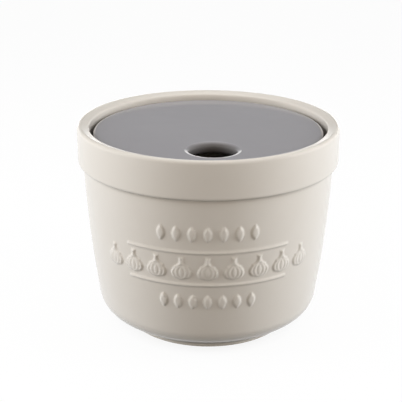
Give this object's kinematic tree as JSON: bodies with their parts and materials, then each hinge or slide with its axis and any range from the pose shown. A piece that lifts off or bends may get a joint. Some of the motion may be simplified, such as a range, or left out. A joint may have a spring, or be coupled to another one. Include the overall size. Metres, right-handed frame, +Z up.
{
  "type": "garlic keeper",
  "caption": "Round stoneware garlic keeper: a tapered pot with a wide collar and foot ring, and a flat inset lid with an off-centre finger hole and grating teeth below.",
  "frame": {"origin": "on the table, under the middle of the foot ring", "axes": "+Z up along the pot's axis, -Y towards the front, where the relief and the finger hole are, +X to the right as seen from the front"},
  "size_m": [0.13, 0.13, 0.1034],
  "materials": {
    "pot_glaze": "glossy cream glaze over stoneware, bare on the resting edge of the foot ring",
    "lid_glaze": "smooth grey glaze over stoneware"
  },
  "bodies": {
    "pot": {"pot": "pot_glaze"},
    "lid": {"lid": "lid_glaze"}
  },
  "joints": [
    {"name": "lid_lift", "type": "slide", "parent": "pot", "child": "lid", "axis": [0, 0, 1], "range_m": [0, 0.06]}
  ]
}
